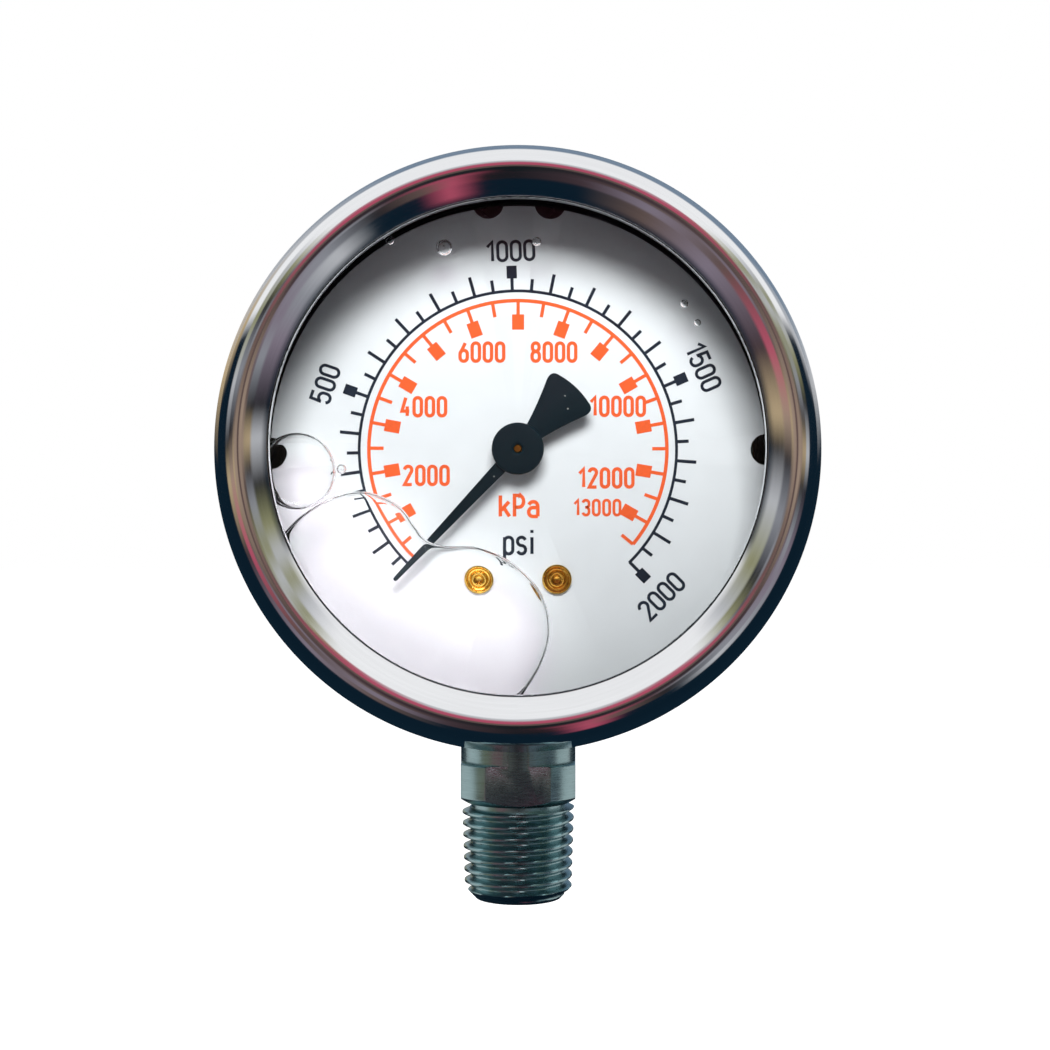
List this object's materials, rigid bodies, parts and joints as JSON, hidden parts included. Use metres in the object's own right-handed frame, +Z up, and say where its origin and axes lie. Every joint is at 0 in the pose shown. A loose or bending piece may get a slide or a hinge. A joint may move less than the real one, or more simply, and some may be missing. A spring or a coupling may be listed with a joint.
{
  "type": "pressure gauge",
  "caption": "Round liquid-filled dial pressure gauge with a crimped bezel, a bottom threaded stem and a coiled Bourdon tube movement that turns the pointer.",
  "frame": {"origin": "centre of the stem's end face, on the thread's axis", "axes": "+Z up the stem's axis to the dial's centre, the dial faces -Y, +X to the right as the dial is read"},
  "size_m": [0.0708, 0.032, 0.0904],
  "materials": {
    "polished_steel": "polished",
    "case_steel": "satin",
    "stem_steel": "turned",
    "screw_steel": "turned",
    "brass": "satin",
    "tube_bronze": "satin",
    "rubber": "matte",
    "window": "clear",
    "dial_enamel": "satin",
    "black_ink": "matte",
    "red_ink": "matte",
    "pointer_black": "satin"
  },
  "bodies": {
    "gauge_body": {"case_shell": "case_steel", "bezel": "polished_steel", "window": "window", "window_gasket": "rubber", "fill_plug": "rubber", "case_screw_left": "screw_steel", "case_screw_right": "screw_steel", "socket": "stem_steel", "stem_seal": "rubber", "restrictor": "brass", "bourdon_tube": "tube_bronze", "movement_back_plate": "brass", "movement_front_plate": "brass", "pillar_1": "brass", "pillar_2": "brass", "pillar_3": "brass", "plate_screw_1": "screw_steel", "plate_screw_2": "screw_steel", "plate_screw_3": "screw_steel", "movement_screw_upper": "screw_steel", "movement_screw_lower": "screw_steel", "hairspring": "tube_bronze", "hairspring_stud": "brass", "dial": "dial_enamel", "dial_post_left": "brass", "dial_post_right": "brass", "dial_rivet_left": "brass", "dial_rivet_right": "brass"},
    "pointer_body": {"pointer": "pointer_black", "pointer_bush": "brass", "pinion": "brass", "hairspring_collet": "brass"},
    "sector_body": {"sector_gear": "brass", "sector_arbor": "screw_steel"},
    "link_body": {"link": "brass", "link_screw_sector": "screw_steel"},
    "tube_tip_body": {"tube_end_cap": "brass", "link_screw_tip": "screw_steel"}
  },
  "joints": [
    {"name": "pointer_turn", "type": "hinge", "parent": "gauge_body", "child": "pointer_body", "pos_m": [0, -0.008, 0.055], "axis": [0, 1, 0], "range_deg": [0, 272], "stiffness_Nm_per_rad": 0.00002, "springref_deg": -28.65, "deforming": ["hairspring"]},
    {"name": "sector_turn", "type": "hinge", "parent": "gauge_body", "child": "sector_body", "pos_m": [-0.0039, -0.005, 0.04365], "axis": [0, 1, 0], "range_deg": [-30.5, 0.3]},
    {"name": "link_turn", "type": "hinge", "parent": "sector_body", "child": "link_body", "pos_m": [-0.00921, -0.0055, 0.04508], "axis": [0, 1, 0], "range_deg": [-0.3, 36.8]},
    {"name": "tube_tip_turn", "type": "hinge", "parent": "gauge_body", "child": "tube_tip_body", "pos_m": [0, -0.002, 0.055], "axis": [0, 1, 0], "range_deg": [-18.5, 0.3], "deforming": ["bourdon_tube"]}
  ],
  "couplings": [
    {"joint": "sector_turn", "follows": "pointer_turn", "ratio": -0.11111},
    {"joint": "link_turn", "follows": "pointer_turn", "ratio": 0.1339},
    {"joint": "tube_tip_turn", "follows": "pointer_turn", "ratio": -0.066667}
  ]
}
